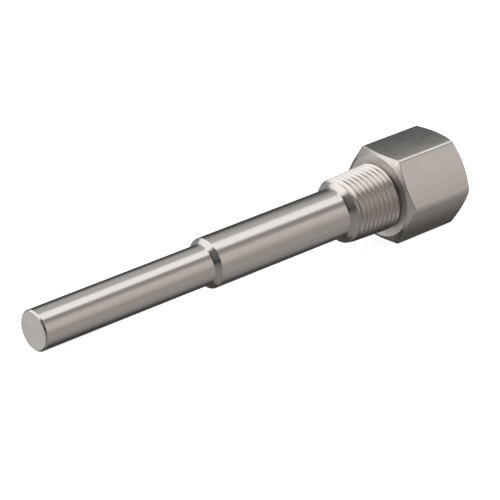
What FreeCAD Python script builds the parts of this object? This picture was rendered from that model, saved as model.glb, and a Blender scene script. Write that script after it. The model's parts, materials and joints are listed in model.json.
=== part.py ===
import FreeCAD, Part
import math
import os

# A stepped, threaded thermowell, turned in one piece from hexagon bar.
# Sizes are in millimetres, and lengths run along the axis from the closed tip.

# Stem
tip_diameter = 12.70
tip_edge_break = 0.50
reduced_length = 63.50
shank_diameter = 15.875
insertion_length = 114.30
shoulder_angle = 45.0
step_root_radius = 1.00
step_edge_radius = 0.25
collar_root_radius = 1.20

# Tapered pipe thread on the collar, 14 turns to the inch
pipe_pitch = 25.4 / 14.0
pipe_pitch_diameter = 19.264
pipe_taper = 1.0 / 16.0
pipe_thread_height = 1.30
pipe_crest_flat = 0.16
pipe_thread_offset = -0.55
flank_angle = 30.0
collar_length = 19.05

# Narrow relief between the thread and the hexagon
relief_width = 0.80
relief_clearance = 0.10
relief_root_radius = 0.20

# Hexagon for the wrench
hex_across_flats = 28.575
hex_length = 25.40
hex_corner_radius = 1.40
hex_front_chamfer_angle = 20.0
hex_back_chamfer_angle = 30.0
hex_front_face_diameter = 26.60
hex_back_face_diameter = 27.60
chamfer_overcut = 1.00

# Hole for the instrument's straight pipe thread, plain at the diameter of its crests
instrument_hole_diameter = 18.70
instrument_hole_depth = 20.00
instrument_mouth_diameter = 21.60

# Bore for the probe
stem_bore_diameter = 6.604
tip_wall = 6.35
drill_point_angle = 118.0

# Places and slopes that follow from the sizes
hex_front = insertion_length + collar_length
overall_length = hex_front + hex_length
relief_start = hex_front - relief_width
neck_middle = hex_front - relief_width / 2.0
hole_bottom = overall_length - instrument_hole_depth
tip_radius = tip_diameter / 2.0
shank_radius = shank_diameter / 2.0
bore_radius = stem_bore_diameter / 2.0
hole_radius = instrument_hole_diameter / 2.0
mouth_radius = instrument_mouth_diameter / 2.0
front_face_radius = hex_front_face_diameter / 2.0
back_face_radius = hex_back_face_diameter / 2.0
shoulder_slope = math.tan(math.radians(shoulder_angle))
flank_slope = math.tan(math.radians(flank_angle))
front_chamfer_slope = math.tan(math.radians(hex_front_chamfer_angle))
back_chamfer_slope = math.tan(math.radians(hex_back_chamfer_angle))
drill_slope = math.tan(math.radians(drill_point_angle / 2.0))
cone_slope = pipe_taper / 2.0

origin = FreeCAD.Vector(0.0, 0.0, 0.0)
along_well = FreeCAD.Vector(1.0, 0.0, 0.0)
sideways = FreeCAD.Vector(0.0, 1.0, 0.0)


def crest_radius(x):
    """Radius of the cone that the thread's crests lie on."""
    return (pipe_pitch_diameter + pipe_thread_height) / 2.0 + (x - insertion_length) * cone_slope


def root_radius(x):
    """Radius of the cone that the thread's roots lie on."""
    return crest_radius(x) - pipe_thread_height


def relief_radius():
    """Radius of the neck, a little under the thread's last root."""
    return root_radius(relief_start) - relief_clearance


def corner_arc(before, corner, after, radius):
    """Start, middle and end of the arc that rounds one corner."""
    back = FreeCAD.Vector(before - corner).normalize()
    onward = FreeCAD.Vector(after - corner).normalize()
    half_angle = back.getAngle(onward) / 2.0
    reach = radius / math.tan(half_angle)
    bisector = FreeCAD.Vector(back + onward).normalize()
    depth = radius / math.sin(half_angle) - radius
    return corner + back * reach, corner + bisector * depth, corner + onward * reach


def rounded_wire(corners):
    """Closed wire through (point, rounding radius) corners."""
    spans = []
    for index, (corner, rounding) in enumerate(corners):
        before = corners[index - 1][0]
        after = corners[(index + 1) % len(corners)][0]
        if rounding > 0.0:
            spans.append(corner_arc(before, corner, after, rounding))
        else:
            spans.append((corner, corner, corner))
    edges = []
    for index, (start, middle, end) in enumerate(spans):
        if start != end:
            edges.append(Part.Arc(start, middle, end).toShape())
        following = spans[(index + 1) % len(spans)][0]
        edges.append(Part.LineSegment(end, following).toShape())
    return Part.Wire(edges)


def turned(profile):
    """Solid of revolution about the well's axis, from (x, radius, rounding) corners."""
    corners = [(FreeCAD.Vector(x, 0.0, radius), rounding) for x, radius, rounding in profile]
    return Part.Face(rounded_wire(corners)).revolve(origin, along_well, 360.0)


def make_stem_blank():
    """Tip, step, shank, shoulder and plain collar, up to the middle of the neck."""
    step_run = (shank_radius - tip_radius) / shoulder_slope
    shoulder_run = (crest_radius(insertion_length) - shank_radius) / (shoulder_slope - cone_slope)
    shoulder_end = insertion_length + shoulder_run
    return turned([
        (0.0, 0.0, 0.0),
        (0.0, tip_radius - tip_edge_break, 0.0),
        (tip_edge_break, tip_radius, 0.0),
        (reduced_length - step_run, tip_radius, step_root_radius),
        (reduced_length, shank_radius, step_edge_radius),
        (insertion_length, shank_radius, collar_root_radius),
        (shoulder_end, crest_radius(shoulder_end), 0.0),
        (relief_start, crest_radius(relief_start), 0.0),
        (relief_start, relief_radius(), 0.0),
        (neck_middle, relief_radius(), 0.0),
        (neck_middle, 0.0, 0.0),
    ])


def make_thread_groove():
    """Helical groove of the tapered thread, a turn longer than the collar at each end."""
    start = insertion_length - pipe_pitch + pipe_thread_offset
    length = neck_middle + pipe_pitch - start
    inner = root_radius(start)
    overcut = pipe_crest_flat / 4.0
    outer = inner + pipe_thread_height + overcut
    half_crest_gap = (pipe_pitch - pipe_crest_flat) / 2.0
    half_inner = half_crest_gap - pipe_thread_height * flank_slope
    half_outer = half_crest_gap + overcut * flank_slope
    section = Part.makePolygon([
        FreeCAD.Vector(inner, 0.0, -half_inner),
        FreeCAD.Vector(outer, 0.0, -half_outer),
        FreeCAD.Vector(outer, 0.0, half_outer),
        FreeCAD.Vector(inner, 0.0, half_inner),
        FreeCAD.Vector(inner, 0.0, -half_inner),
    ])
    taper_angle = math.degrees(math.atan(cone_slope))
    path = Part.makeLongHelix(pipe_pitch, length, inner, taper_angle)
    groove = Part.Wire(path.Edges).makePipeShell([section], True, True)
    groove.rotate(origin, sideways, 90.0)
    groove.translate(along_well * start)
    return groove


def make_hexagon_bar():
    """Stock for the head: hexagon bar lying on a flat, with its rounded corners."""
    corner_radius = hex_across_flats / math.sqrt(3.0)
    corners = []
    for sixth in range(6):
        angle = math.radians(60.0 * sixth)
        corner = FreeCAD.Vector(neck_middle, corner_radius * math.cos(angle), corner_radius * math.sin(angle))
        corners.append((corner, hex_corner_radius))
    return Part.Face(rounded_wire(corners)).extrude(along_well * (overall_length - neck_middle))


def make_chamfer_waste(face_x, face_radius, slope, inward):
    """Ring that an end chamfer takes off, inward being +1 or -1 along the axis.

    Its cone is a spline surface, so the flats end in splines and not in hyperbolas.
    """
    outside = hex_across_flats / math.sqrt(3.0) + chamfer_overcut
    before_face = face_x - inward * chamfer_overcut * slope
    cone_end = face_x + inward * (outside - face_radius) * slope
    return turned([
        (before_face, face_radius - chamfer_overcut, 0.0),
        (cone_end, outside, 0.0),
        (before_face, outside, 0.0),
    ]).toNurbs()


def make_head():
    """Neck and hexagon: the bar turned down to the neck and chamfered at both ends."""
    outside = hex_across_flats / math.sqrt(3.0)
    turning = turned([
        (neck_middle, 0.0, 0.0),
        (neck_middle, relief_radius(), 0.0),
        (hex_front, relief_radius(), relief_root_radius),
        (hex_front, outside, 0.0),
        (overall_length, outside, 0.0),
        (overall_length, 0.0, 0.0),
    ])
    squared = make_hexagon_bar().common(turning)
    front_waste = make_chamfer_waste(hex_front, front_face_radius, front_chamfer_slope, 1.0)
    back_waste = make_chamfer_waste(overall_length, back_face_radius, back_chamfer_slope, -1.0)
    return squared.cut(front_waste).cut(back_waste)


def make_bore():
    """Probe bore and instrument hole, each with its drill point, and the mouth's chamfer."""
    bore_bottom = tip_wall + bore_radius / drill_slope
    hole_point = hole_bottom - (hole_radius - bore_radius) / drill_slope
    mouth_run = mouth_radius - hole_radius
    return turned([
        (tip_wall, 0.0, 0.0),
        (bore_bottom, bore_radius, 0.0),
        (hole_point, bore_radius, 0.0),
        (hole_bottom, hole_radius, 0.0),
        (overall_length - mouth_run, hole_radius, 0.0),
        (overall_length, mouth_radius, 0.0),
        (overall_length, 0.0, 0.0),
    ])


def rest_slope():
    """Angle of the axis when the well lies on its tip's edge and one hexagon flat."""
    half_flats = hex_across_flats / 2.0
    flat_start = hex_front + max(0.0, half_flats - front_face_radius) * front_chamfer_slope
    return math.degrees(math.atan2(half_flats - tip_radius, flat_start - tip_edge_break))


def lay_down(well):
    """Lay the well at rest on the ground plane, with its box centred over the origin."""
    well.rotate(origin, sideways, -rest_slope())
    box = well.optimalBoundingBox(False, False)
    well.translate(FreeCAD.Vector(-box.Center.x, -box.Center.y, -box.ZMin))
    return well


def make_thermowell():
    """The whole well, one solid."""
    stem = make_stem_blank().cut(make_thread_groove())
    well = stem.fuse(make_head()).cut(make_bore()).removeSplitter()
    return lay_down(well)


def main():
    """Write the well to its STEP file."""
    os.makedirs("parts", exist_ok=True)
    make_thermowell().exportStep("parts/thermowell.step")


main()
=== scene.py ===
from collections import namedtuple
import json
import math
import bmesh
import bpy
from mathutils import Matrix, Quaternion, Vector, geometry


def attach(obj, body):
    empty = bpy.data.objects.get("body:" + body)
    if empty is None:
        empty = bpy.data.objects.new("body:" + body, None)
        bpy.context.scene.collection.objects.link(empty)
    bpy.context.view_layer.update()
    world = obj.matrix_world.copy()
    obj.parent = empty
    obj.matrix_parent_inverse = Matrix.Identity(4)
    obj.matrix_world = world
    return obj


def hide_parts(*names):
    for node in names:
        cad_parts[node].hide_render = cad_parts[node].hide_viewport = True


# The looks of a stepped, threaded thermowell: its fine surface, its steel and a plain studio.
# Sizes are in millimetres in the well's own frame, with x along the axis from the closed tip.

MM = 0.001

# Stem
tip_radius = 6.35
tip_edge_break = 0.50
reduced_length = 63.50
shank_radius = 7.9375
insertion_length = 114.30
step_root_radius = 1.00
step_edge_radius = 0.25
collar_root_radius = 1.20

# Tapered pipe thread on the collar, with crests and roots as sharp as the standard has them
pitch = 25.4 / 14.0
taper = 1.0 / 32.0
first_crest_radius = 10.33
first_groove_offset = -0.50
thread_height = 1.45
root_flat = 0.04
flank_slope = 1.0 / math.tan(math.radians(30.0))
smooth_cone_length = 0.70
collar_length = 19.05

# Relief between the thread and the hexagon, its wall all but square to the axis
relief_width = 0.80
relief_clearance = 0.03
relief_root_radius = 0.20
relief_wall_slope = 20.0

# Hexagon
half_flats = 28.575 / 2.0
hex_length = 25.40
hex_corner_radius = 1.40
front_chamfer_slope = math.tan(math.radians(20.0))
back_chamfer_slope = math.tan(math.radians(30.0))
front_face_radius = 13.30
back_face_radius = 13.80

# Holes
hole_radius = 9.35
hole_depth = 20.00
mouth_radius = 10.80
bore_radius = 3.302
tip_wall = 6.35
drill_slope = math.tan(math.radians(59.0))

# Straight thread in the instrument hole, measured from the hole's foot
inner_thread_height = 1.15
inner_root_flat = 0.12
inner_plain_length = 1.00
inner_runout_start = 1.50
inner_runout_length = 4.00

# Edges that the tools leave a little soft
fine_edge = 0.12
chamfer_edge = 0.20

# Fineness of the mesh, whose even columns stop short of each corner of the hexagon
even_columns = 144
corner_steps = 4
corner_margin = 1.1
arc_steps = 5
sharp_angle = math.radians(24.0)
weld_distance = 0.001

# Turns of a groove, some more than fit on either threaded stretch
groove_turns = range(-2, 12)

# Limits for sheets that are parallel, for heights that are equal and for marks that are one
parallel_limit = 1e-9
height_limit = 1e-7
mark_digits = 6
mark_distance = 1e-6

# Places that follow from the sizes
hex_front = insertion_length + collar_length
overall_length = hex_front + hex_length
relief_start = hex_front - relief_width
crest_cone_at_tip = first_crest_radius - insertion_length * taper
relief_radius = crest_cone_at_tip + relief_start * taper - thread_height - relief_clearance
thread_start = insertion_length + smooth_cone_length
hole_bottom = overall_length - hole_depth
inner_thread_start = hole_bottom + inner_plain_length
side_angle = math.pi / 3.0
half_side_angle = side_angle / 2.0
corner_centre = (half_flats - hex_corner_radius) / math.cos(half_side_angle)
corner_half_angle = half_side_angle - math.atan2(corner_centre * math.sin(half_side_angle), half_flats)

# Finishes, in the order of the material slots
TURNED, THREADED, FACED, DRAWN, BORED = range(5)


def hexagon_radius(angle):
    """Distance from the axis to the hexagon's side, with its rounded corners."""
    off_flat = abs((angle + half_side_angle) % side_angle - half_side_angle)
    off_corner = half_side_angle - off_flat
    if off_corner > corner_half_angle:
        return half_flats / math.cos(off_flat)
    across = corner_centre * math.sin(off_corner)
    return corner_centre * math.cos(off_corner) + math.sqrt(hex_corner_radius ** 2 - across ** 2)


def column_angles():
    """Angles of the mesh's columns, right-handed about the axis from straight down."""
    angles = []
    for corner in range(6):
        middle = (corner + 0.5) * side_angle
        for step in range(-corner_steps, corner_steps + 1):
            angles.append(middle + corner_half_angle * step / corner_steps)
    for column in range(even_columns):
        angle = 2.0 * math.pi * column / even_columns
        if abs(angle % side_angle - half_side_angle) > corner_half_angle * corner_margin:
            angles.append(angle)
    return sorted(angles)


def softened(corners):
    """Outline of (point, finish) through (x, radius, rounding, finish) corners.

    A corner's finish is that of the stretch that leads to it.
    """
    outline = []
    for index, (x, radius, rounding, finish) in enumerate(corners):
        corner = Vector((x, radius))
        if rounding == 0.0:
            outline.append((corner, finish))
            continue
        back = (Vector(corners[index - 1][:2]) - corner).normalized()
        onward = (Vector(corners[index + 1][:2]) - corner).normalized()
        half_angle = back.angle(onward) / 2.0
        reach = rounding / math.tan(half_angle)
        centre = corner + (back + onward).normalized() * rounding / math.sin(half_angle)
        start = corner + back * reach - centre
        end = corner + onward * reach - centre
        sweep = start.angle(end)
        for step in range(arc_steps + 1):
            turn = sweep * step / arc_steps
            spoke = (start * math.sin(sweep - turn) + end * math.sin(turn)) / math.sin(sweep)
            outline.append((centre + spoke, finish))
    return outline


class Skin:
    """The well's surface, collected from the tip round to the bottom of the bore."""

    def __init__(self):
        self.columns = column_angles()
        self.points = []
        self.faces = []
        self.finishes = []

    def point(self, x, radius, angle):
        """Number of a new point."""
        self.points.append(Vector((x, radius * math.sin(angle), -radius * math.cos(angle))))
        return len(self.points) - 1

    def face(self, corners, finish):
        """New face between points that are given by their numbers."""
        self.faces.append(corners)
        self.finishes.append(finish)

    def swept(self, corners_at):
        """Surface whose outline's corners are a function of the column's angle."""
        outlines = [softened(corners_at(angle)) for angle in self.columns]
        rows = []
        for stations in zip(*outlines):
            rows.append([self.point(*place, angle) for (place, _), angle in zip(stations, self.columns)])
        finishes = [finish for _, finish in outlines[0]]
        for row, following, finish in zip(rows, rows[1:], finishes[1:]):
            for column in range(len(row)):
                before = column - 1
                self.face((row[before], row[column], following[column], following[before]), finish)

    def threaded(self, helix, finish):
        """Surface of a threaded stretch."""
        places, triangles = helix.unrolled_mesh(self.columns)
        first = len(self.points)
        for angle, x in places:
            self.point(x, helix.radius(angle, x), angle)
        for triangle in triangles:
            self.face(tuple(first + corner for corner in triangle), finish)

    def mesh(self, name, placement):
        """Closed Blender mesh at its place, welded where its stretches meet and shaded smooth."""
        mesh = bpy.data.meshes.new(name)
        mesh.from_pydata(self.points, [], self.faces)
        mesh.polygons.foreach_set("material_index", self.finishes)
        welded = bmesh.new()
        welded.from_mesh(mesh)
        bmesh.ops.remove_doubles(welded, verts=welded.verts, dist=weld_distance)
        bmesh.ops.recalc_face_normals(welded, faces=welded.faces)
        welded.to_mesh(mesh)
        welded.free()
        mesh.shade_smooth()
        mesh.set_sharp_from_angle(angle=sharp_angle)
        keep_own_frame(mesh, placement)
        mesh.transform(placement)
        return mesh


def keep_own_frame(mesh, placement):
    """Attributes for the materials: the place in the well's own frame and the way a lathe cuts."""
    place = mesh.attributes.new("well_place", "FLOAT_VECTOR", "POINT")
    way = mesh.attributes.new("lathe_way", "FLOAT_VECTOR", "POINT")
    turn = placement.to_3x3().normalized()
    for index, vertex in enumerate(mesh.vertices):
        place.data[index].vector = vertex.co
        way.data[index].vector = turn @ Vector((0.0, -vertex.co.z, vertex.co.y))


class Helix:
    """A threaded stretch, as flat sheets over the plane of angle and x.

    A sheet (a, b, c) has the height a + b * x + c * angle. The surface is the lowest of the
    blanks and the grooves, and a groove is the highest of its own sheets. Outside, where side
    is 1, the height is the radius. Inside, where side is -1, it is the radius turned negative.
    """

    def __init__(self, start, end, side, blanks, grooves):
        self.start = start
        self.end = end
        self.side = side
        self.blanks = blanks
        self.grooves = grooves

    def height(self, angle, x):
        """Height of the surface."""
        cuts = [max(sheet_height(sheet, angle, x) for sheet in groove) for groove in self.grooves]
        return min(cuts + [sheet_height(blank, angle, x) for blank in self.blanks])

    def radius(self, angle, x):
        """Radius of the surface."""
        return self.side * self.height(angle, x)

    def sheet_pairs(self):
        """Pairs of sheets that may meet in an edge."""
        for groove in self.grooves:
            for index, sheet in enumerate(groove):
                for other in groove[index + 1:] + self.blanks:
                    yield sheet, other
        for index, blank in enumerate(self.blanks):
            for other in self.blanks[index + 1:]:
                yield blank, other

    def edges(self, angles):
        """Pieces (column, x there, x at the next column) of the edges between the sheets."""
        for one, other in self.sheet_pairs():
            steepness = one[1] - other[1]
            if abs(steepness) < parallel_limit:
                continue
            crossing = [(other[0] - one[0] + (other[2] - one[2]) * angle) / steepness for angle in angles]
            for column, (x, following) in enumerate(zip(crossing, crossing[1:])):
                if min(x, following) <= self.start or max(x, following) >= self.end:
                    continue
                middle = (x + following) / 2.0
                angle = (angles[column] + angles[column + 1]) / 2.0
                if abs(self.height(angle, middle) - sheet_height(one, angle, middle)) < height_limit:
                    yield column, x, following

    def unrolled_mesh(self, columns):
        """Corners (angle, x) and triangles, split along the columns and along every edge."""
        angles = columns + [columns[0] + 2.0 * math.pi]
        width = self.radius(0.0, self.start)
        numbers = {}

        def number(column, x):
            return numbers.setdefault((column, round(x, mark_digits)), len(numbers))

        lines = [(number(column, x), number(column + 1, following))
                 for column, x, following in self.edges(angles)]
        last = len(angles) - 1
        for column in range(len(angles)):
            number(column, self.start)
            number(column, self.end)
        # The first and the last column are one line on the well, so each has the other's marks
        for column, x in list(numbers):
            if column in (0, last):
                number(last - column, x)
        marks = sorted(numbers)
        for mark, following in zip(marks, marks[1:]):
            if mark[0] == following[0]:
                lines.append((numbers[mark], numbers[following]))
        flat = [Vector((angles[column] * width, x)) for column, x in numbers]
        places, _, triangles, _, _, _ = geometry.delaunay_2d_cdt(flat, lines, [], 0, mark_distance)
        return [(place.x / width, place.y) for place in places], triangles


def sheet_height(sheet, angle, x):
    """Height of one flat sheet."""
    return sheet[0] + sheet[1] * x + sheet[2] * angle


def groove_sheets(root, flat, middle):
    """Root and two flanks of one turn of a groove whose middle is at middle + lead * angle."""
    lead = pitch / (2.0 * math.pi)
    sheets = [root]
    for way in (1.0, -1.0):
        level = root[0] - (flat / 2.0 + way * middle) * flank_slope
        sheets.append((level, root[1] + way * flank_slope, root[2] - way * lead * flank_slope))
    return sheets


def pipe_thread():
    """Tapered thread, from the shoulder's cone to the steep wall of the relief."""
    crest = (crest_cone_at_tip, taper, 0.0)
    root = (crest_cone_at_tip - thread_height, taper, 0.0)
    shoulder = (shank_radius - insertion_length, 1.0, 0.0)
    wall = (relief_radius + relief_start * relief_wall_slope, -relief_wall_slope, 0.0)
    first_groove = insertion_length + first_groove_offset
    grooves = [groove_sheets(root, root_flat, first_groove + turn * pitch) for turn in groove_turns]
    return Helix(thread_start, relief_start, 1, [shoulder, crest, wall], grooves)


def instrument_thread():
    """Straight thread in the hole, from where it runs out to the chamfered mouth."""
    runout_slope = inner_thread_height / inner_runout_length
    runout_start = hole_bottom + inner_runout_start
    plain = (-hole_radius, 0.0, 0.0)
    mouth = (overall_length - mouth_radius, -1.0, 0.0)
    root = (-hole_radius - inner_thread_height, 0.0, 0.0)
    runout = (runout_slope * runout_start - hole_radius, -runout_slope, 0.0)
    grooves = []
    for turn in groove_turns:
        grooves.append(groove_sheets(root, inner_root_flat, hole_bottom + turn * pitch) + [runout])
    return Helix(inner_thread_start, overall_length - fine_edge, -1, [plain, mouth], grooves)


def stem_corners(_angle):
    """Closed tip, step and shank, up to the first of the shoulder's cone."""
    step_start = reduced_length - (shank_radius - tip_radius)
    return [
        (0.0, 0.0, 0.0, TURNED),
        (0.0, tip_radius - tip_edge_break, fine_edge, TURNED),
        (tip_edge_break, tip_radius, fine_edge, TURNED),
        (step_start, tip_radius, step_root_radius, TURNED),
        (reduced_length, shank_radius, step_edge_radius, TURNED),
        (insertion_length, shank_radius, collar_root_radius, TURNED),
        (thread_start, shank_radius + thread_start - insertion_length, 0.0, TURNED),
    ]


def head_corners(angle):
    """Relief, chamfered hexagon and the rim of the instrument hole."""
    side = hexagon_radius(angle)
    flat_start = hex_front + (side - front_face_radius) * front_chamfer_slope
    flat_end = overall_length - (side - back_face_radius) * back_chamfer_slope
    return [
        (relief_start, relief_radius, 0.0, THREADED),
        (hex_front, relief_radius, relief_root_radius, THREADED),
        (hex_front, front_face_radius, fine_edge, FACED),
        (flat_start, side, chamfer_edge, TURNED),
        (flat_end, side, chamfer_edge, DRAWN),
        (overall_length, back_face_radius, fine_edge, TURNED),
        (overall_length, mouth_radius, fine_edge, FACED),
        (overall_length - fine_edge, mouth_radius - fine_edge, 0.0, TURNED),
    ]


def bore_corners(_angle):
    """Foot of the instrument hole, its drill point and the probe bore."""
    hole_point = hole_bottom - (hole_radius - bore_radius) / drill_slope
    bore_bottom = tip_wall + bore_radius / drill_slope
    return [
        (inner_thread_start, hole_radius, 0.0, BORED),
        (hole_bottom, hole_radius, 0.0, BORED),
        (hole_point, bore_radius, 0.0, BORED),
        (bore_bottom, bore_radius, 0.0, BORED),
        (tip_wall, 0.0, 0.0, BORED),
    ]


def well_placement(frame):
    """Place of the well's own frame, in millimetres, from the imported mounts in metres."""
    mounts = {mount["name"]: mount for mount in frame["record"]["mounts"]}
    axis = Vector(mounts["stem_bore"]["axis"]).normalized()
    middle = Vector(mounts["stem_bore"]["pos_m"])
    to_face = (Vector(mounts["instrument_face"]["pos_m"]) - middle).dot(axis)
    tip = middle + axis * (to_face - overall_length * MM)
    side = Vector((0.0, 1.0, 0.0))
    turn = Matrix((axis, side, axis.cross(side))).transposed()
    return Matrix.Translation(tip) @ turn.to_4x4() @ Matrix.Scale(MM, 4)


def make_well(frame):
    """The one visible piece, its surface made from the tip over the head and back to the bore."""
    skin = Skin()
    skin.swept(stem_corners)
    skin.threaded(pipe_thread(), THREADED)
    skin.swept(head_corners)
    skin.threaded(instrument_thread(), BORED)
    skin.swept(bore_corners)
    mesh = skin.mesh("thermowell_body", well_placement(frame))
    well = bpy.data.objects.new("thermowell_body", mesh)
    bpy.context.scene.collection.objects.link(well)
    shading = well.modifiers.new("even shading", "WEIGHTED_NORMAL")
    shading.keep_sharp = True
    return well


def add_node(tree, kind, inputs=None, **settings):
    """Shader node with its settings, and its inputs as numbers or as other nodes' outputs."""
    node = tree.nodes.new(kind)
    for name, value in settings.items():
        setattr(node, name, value)
    for name, value in (inputs or {}).items():
        if isinstance(value, bpy.types.NodeSocket):
            tree.links.new(value, node.inputs[name])
        else:
            node.inputs[name].default_value = value
    return node


def math_node(tree, operation, *values):
    """Result of a sum on numbers or on other nodes' outputs."""
    node = add_node(tree, "ShaderNodeMath", dict(enumerate(values)), operation=operation)
    return node.outputs[0]


def new_material(name):
    """Empty material and its tree of nodes."""
    material = bpy.data.materials.new(name)
    material.use_nodes = True
    material.node_tree.nodes.clear()
    return material, material.node_tree


def from_mesh(tree, name):
    """Vector attribute of the mesh."""
    return add_node(tree, "ShaderNodeAttribute", attribute_name=name).outputs["Vector"]


def place_and_radius(tree):
    """Place along the well and distance from its axis, in millimetres."""
    parts = add_node(tree, "ShaderNodeSeparateXYZ", {"Vector": from_mesh(tree, "well_place")})
    squares = [math_node(tree, "MULTIPLY", parts.outputs[way], parts.outputs[way]) for way in "YZ"]
    return parts.outputs["X"], math_node(tree, "SQRT", math_node(tree, "ADD", *squares))


def noise(tree, place, fineness, detail):
    """Noise with this many grains to a millimetre."""
    inputs = {"Vector": place, "Scale": fineness, "Detail": detail}
    return add_node(tree, "ShaderNodeTexNoise", inputs).outputs["Fac"]


def lathe_grain(tree, fineness):
    """Noise that is the same all round the axis, as a cutting edge leaves it."""
    place, radius = place_and_radius(tree)
    ring = add_node(tree, "ShaderNodeCombineXYZ", {"X": place, "Y": radius})
    return noise(tree, ring.outputs[0], fineness, detail=3.0)


def drawn_grain(tree, fineness):
    """Noise drawn out along the axis, as a drawing die leaves it."""
    stretch = (0.04, 1.0, 1.0)
    place = from_mesh(tree, "well_place")
    stretched = add_node(tree, "ShaderNodeVectorMath", {0: place, 1: stretch}, operation="MULTIPLY")
    return noise(tree, stretched.outputs[0], fineness, detail=4.0)


def polished_flat(tree, softness):
    """Normal of a flat that polishing has left a little rounded toward its corners."""
    _, radius = place_and_radius(tree)
    crown = add_node(tree, "ShaderNodeBump", {
        "Height": radius,
        "Strength": 1.0,
        "Distance": softness * MM,
    }, invert=True)
    return crown.outputs[0]


def steel(name, colour, grain_of, roughness, fineness, depth, anisotropy=0.0, turn=0.0, softness=0.0):
    """Bare steel with its tool's grain, which is relief and makes it rougher in some places.

    The grain's fineness is in grains to a millimetre, and its depth and the softness in millimetres.
    """
    grain_low = 0.3
    grain_high = 0.7
    roughness_spread = 0.2
    material, tree = new_material(name)
    grain = grain_of(tree, fineness)
    rough = add_node(tree, "ShaderNodeMapRange", {
        "Value": grain,
        "From Min": grain_low,
        "From Max": grain_high,
        "To Min": roughness * (1.0 - roughness_spread),
        "To Max": roughness * (1.0 + roughness_spread),
    })
    bump = add_node(tree, "ShaderNodeBump", {"Height": grain, "Strength": 0.5, "Distance": depth * MM})
    if softness > 0.0:
        tree.links.new(polished_flat(tree, softness), bump.inputs["Normal"])
    shader = add_node(tree, "ShaderNodeBsdfPrincipled", {
        "Base Color": (*colour, 1.0),
        "Metallic": 1.0,
        "Roughness": rough.outputs[0],
        "Anisotropic": anisotropy,
        "Anisotropic Rotation": turn,
        "Normal": bump.outputs[0],
        "Tangent": from_mesh(tree, "lathe_way"),
    })
    add_node(tree, "ShaderNodeOutputMaterial", {"Surface": shader.outputs[0]})
    return material


def finish_steel(well):
    """One material for each finish, in the order of the finishes."""
    plain = (0.62, 0.585, 0.55)
    # The bright tone on the thread is partly the fresh cut's own shine and partly painted light that lifts
    # the shade on its lower flanks.
    bright = (0.68, 0.645, 0.61)
    dull = (0.54, 0.51, 0.48)
    quarter_turn = 0.25
    materials = [
        steel("turned_steel", plain, lathe_grain, roughness=0.20, fineness=5.0, depth=0.010,
              anisotropy=0.5, turn=quarter_turn),
        steel("threaded_steel", bright, lathe_grain, roughness=0.24, fineness=5.0, depth=0.010),
        steel("faced_steel", bright, lathe_grain, roughness=0.42, fineness=4.0, depth=0.012,
              anisotropy=0.9, turn=quarter_turn),
        steel("drawn_steel", plain, drawn_grain, roughness=0.24, fineness=3.0, depth=0.012,
              softness=0.21),
        steel("bored_steel", dull, lathe_grain, roughness=0.32, fineness=4.0, depth=0.015),
    ]
    for material in materials:
        well.data.materials.append(material)


# Soft panels of a light tent round the well. Middle, half width and soft edge are in degrees
# round the X axis, which the well lies along, from straight up, the camera's side being
# positive. Start and end are along that axis, from -1 toward the tip to 1 toward the hexagon,
# and an end that is open lies past the last direction.
Panel = namedtuple("Panel", "name middle half_width edge start end brightness tint")
end_edge = 0.12
open_tip_end = -2.0
open_hexagon_end = 2.0
tent_glow = 0.03
neutral = (1.0, 1.0, 1.0)
cool = (0.98, 1.0, 1.015)
warm = (1.0, 0.965, 0.94)
panels = [
    Panel("overhead strip", 2.5, 17.5, 14.0, -0.30, 0.55, 1.22, cool),
    Panel("overhead strip, right", 0.5, 16.5, 14.0, 0.55, 0.85, 1.22, cool),
    Panel("back wall", -37.0, 25.0, 24.0, -0.20, 0.57, 0.58, cool),
    Panel("back wall, low", -92.0, 30.0, 24.0, -0.15, 0.38, 0.28, neutral),
    Panel("back wall, right", -30.0, 14.0, 10.0, 0.57, 0.85, 0.55, cool),
    Panel("backdrop, right", -60.0, 20.0, 20.0, 0.57, open_hexagon_end, 0.03, neutral),
    Panel("back floor", -120.0, 48.0, 30.0, -0.20, open_hexagon_end, 0.06, neutral),
    Panel("front wall", 66.0, 20.0, 20.0, 0.20, 0.585, 0.29, warm),
    Panel("front wall, right", 57.0, 14.0, 20.0, 0.585, 0.85, 0.29, warm),
    Panel("front window", 48.0, 7.0, 10.0, 0.60, 0.85, 0.25, neutral),
    Panel("front floor, right", 88.0, 70.0, 66.0, 0.00, 0.85, 0.42, warm),
    Panel("floor under the head", 168.0, 16.0, 16.0, 0.62, 0.85, 0.23, warm),
    Panel("left window", -45.0, 44.0, 13.0, open_tip_end, -0.25, 1.32, neutral),
    Panel("left window, end", -86.0, 9.0, 10.0, open_tip_end, -0.76, 0.50, neutral),
    Panel("left back floor", -120.0, 25.0, 22.0, -0.75, -0.35, 0.70, neutral),
    Panel("left back floor, end", -151.0, 39.0, 20.0, open_tip_end, -0.66, 0.33, neutral),
    Panel("left front", 40.0, 26.0, 20.0, open_tip_end, -0.60, 0.13, warm),
    Panel("left front floor", 133.0, 50.0, 24.0, -0.78, 0.00, 0.28, warm),
    Panel("left front floor, end", 133.0, 50.0, 24.0, open_tip_end, -0.78, 0.13, warm),
]


def fade(tree, value, place, softness):
    """Soft step at a place, up with a positive softness and down with a negative one."""
    step = add_node(tree, "ShaderNodeMapRange", {
        "Value": value,
        "From Min": place - softness / 2.0,
        "From Max": place + softness / 2.0,
    }, interpolation_type="SMOOTHSTEP")
    return step.outputs[0]


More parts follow.
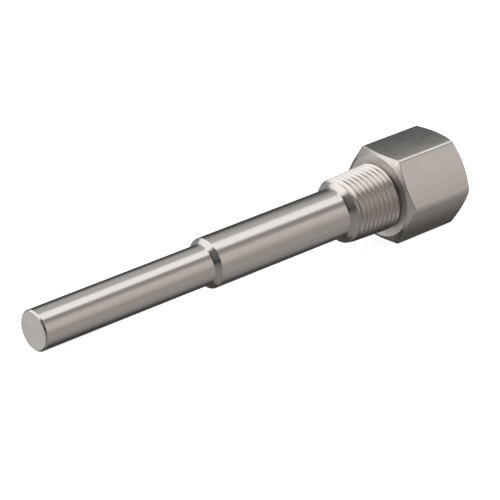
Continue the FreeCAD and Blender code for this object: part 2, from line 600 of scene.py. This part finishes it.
def panel_light(tree, around, along, panel):
    """Light from one panel, even inside and fading over its edges."""
    from_middle = math_node(tree, "SUBTRACT", around, panel.middle)
    off_middle = math_node(tree, "ABSOLUTE", math_node(tree, "WRAP", from_middle, 180.0, -180.0))
    width = fade(tree, off_middle, panel.half_width, -panel.edge)
    start = fade(tree, along, panel.start, end_edge)
    end = fade(tree, along, panel.end, -end_edge)
    inside = math_node(tree, "MULTIPLY", width, math_node(tree, "MULTIPLY", start, end))
    colour = tuple(panel.brightness * part for part in panel.tint)
    inputs = {0: colour, "Scale": inside}
    lit = add_node(tree, "ShaderNodeVectorMath", inputs, operation="SCALE", label=panel.name)
    return lit.outputs[0]


def light_tent():
    """World that lights the steel as a tent of soft panels would, and that the camera sees white."""
    world = bpy.data.worlds.new("light_tent")
    world.use_nodes = True
    tree = world.node_tree
    tree.nodes.clear()
    way = add_node(tree, "ShaderNodeTexCoord").outputs["Generated"]
    parts = add_node(tree, "ShaderNodeSeparateXYZ", {"Vector": way})
    toward_camera = math_node(tree, "MULTIPLY", parts.outputs["Y"], -1.0)
    around = math_node(tree, "DEGREES", math_node(tree, "ARCTAN2", toward_camera, parts.outputs["Z"]))
    light = (tent_glow, tent_glow, tent_glow)
    for panel in panels:
        lit = panel_light(tree, around, parts.outputs["X"], panel)
        light = add_node(tree, "ShaderNodeVectorMath", {0: light, 1: lit}, operation="ADD").outputs[0]
    seen = add_node(tree, "ShaderNodeLightPath").outputs["Is Camera Ray"]
    shown = add_node(tree, "ShaderNodeMix", {"Factor": seen, "A": light, "B": neutral}, data_type="VECTOR")
    background = add_node(tree, "ShaderNodeBackground", {"Color": shown.outputs["Result"]})
    add_node(tree, "ShaderNodeOutputWorld", {"Surface": background.outputs[0]})
    bpy.context.scene.world = world


def make_floor():
    """Pale floor lit from below, left out of the steel's reflections as the tent has its own."""
    reach = 4.0
    paint_colour = (0.9, 0.9, 0.9, 1.0)
    glow_strength = 0.85
    mesh = bpy.data.meshes.new("floor")
    corners = [(-reach, -reach, 0.0), (reach, -reach, 0.0), (reach, reach, 0.0), (-reach, reach, 0.0)]
    mesh.from_pydata(corners, [], [(0, 1, 2, 3)])
    floor = bpy.data.objects.new("floor", mesh)
    bpy.context.scene.collection.objects.link(floor)
    material, tree = new_material("pale_floor")
    paint = add_node(tree, "ShaderNodeBsdfDiffuse", {"Color": paint_colour})
    glow = add_node(tree, "ShaderNodeEmission", {"Color": (*neutral, 1.0), "Strength": glow_strength})
    both = add_node(tree, "ShaderNodeAddShader", {0: paint.outputs[0], 1: glow.outputs[0]})
    add_node(tree, "ShaderNodeOutputMaterial", {"Surface": both.outputs[0]})
    mesh.materials.append(material)
    floor.visible_glossy = False


def make_camera():
    """Camera at the photograph's viewing angle, with its place in metres and its lens in pixels."""
    photo_width = 500.0
    focal_length = 2650.3
    azimuth = math.radians(-41.23)
    elevation = math.radians(24.20)
    roll = math.radians(1.82)
    distance = 0.7985
    target = Vector((0.00124, 0.0, 0.00978))
    camera = bpy.data.cameras.new("camera")
    camera.lens = camera.sensor_width * focal_length / photo_width
    camera.clip_start = 0.01
    camera.clip_end = 100.0
    holder = bpy.data.objects.new("camera", camera)
    bpy.context.scene.collection.objects.link(holder)
    flat = math.cos(elevation)
    back = Vector((math.sin(azimuth) * flat, -math.cos(azimuth) * flat, math.sin(elevation)))
    holder.location = target + back * distance
    holder.rotation_mode = "QUATERNION"
    upright = (-back).to_track_quat("-Z", "Y")
    holder.rotation_quaternion = upright @ Quaternion((0.0, 0.0, 1.0), roll)
    bpy.context.scene.camera = holder


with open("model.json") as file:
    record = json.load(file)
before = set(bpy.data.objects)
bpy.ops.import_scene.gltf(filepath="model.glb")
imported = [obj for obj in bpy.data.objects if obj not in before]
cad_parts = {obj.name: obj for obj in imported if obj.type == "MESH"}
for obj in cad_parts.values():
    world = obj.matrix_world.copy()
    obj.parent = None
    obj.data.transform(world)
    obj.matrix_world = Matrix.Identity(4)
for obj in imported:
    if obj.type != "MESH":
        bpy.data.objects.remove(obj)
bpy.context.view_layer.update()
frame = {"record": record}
well = make_well(frame)
finish_steel(well)
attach(well, "root")
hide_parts("thermowell")
light_tent()
make_floor()
make_camera()
bpy.context.scene.view_settings.view_transform = "Standard"
bpy.context.view_layer.update()
